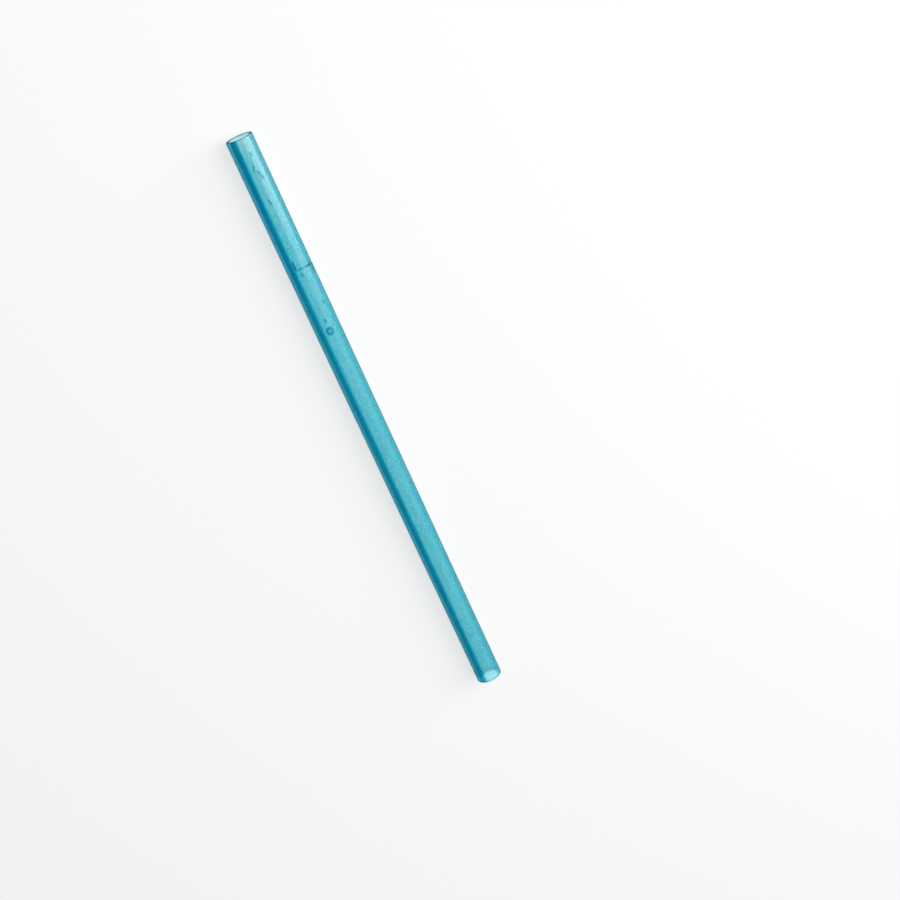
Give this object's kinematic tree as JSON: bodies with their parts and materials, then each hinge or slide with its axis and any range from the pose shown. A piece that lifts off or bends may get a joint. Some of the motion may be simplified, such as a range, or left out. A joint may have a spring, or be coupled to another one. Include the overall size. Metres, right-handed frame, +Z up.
{
  "type": "reusable drinking straw",
  "caption": "Straight rigid reusable drinking straw in translucent turquoise plastic: a thick-walled round tube, open at both ends, with rounded lips.",
  "frame": {"origin": "on the surface that the straw lies on, below the middle of its length", "axes": "+X along the straw towards the mouth, +Z up, +Y across it, away from the end of the mark line"},
  "size_m": [0.235, 0.01, 0.01],
  "materials": {
    "turquoise_plastic": "gloss, translucent"
  },
  "bodies": {
    "root": {"straw_tube": "turquoise_plastic"}
  },
  "joints": []
}
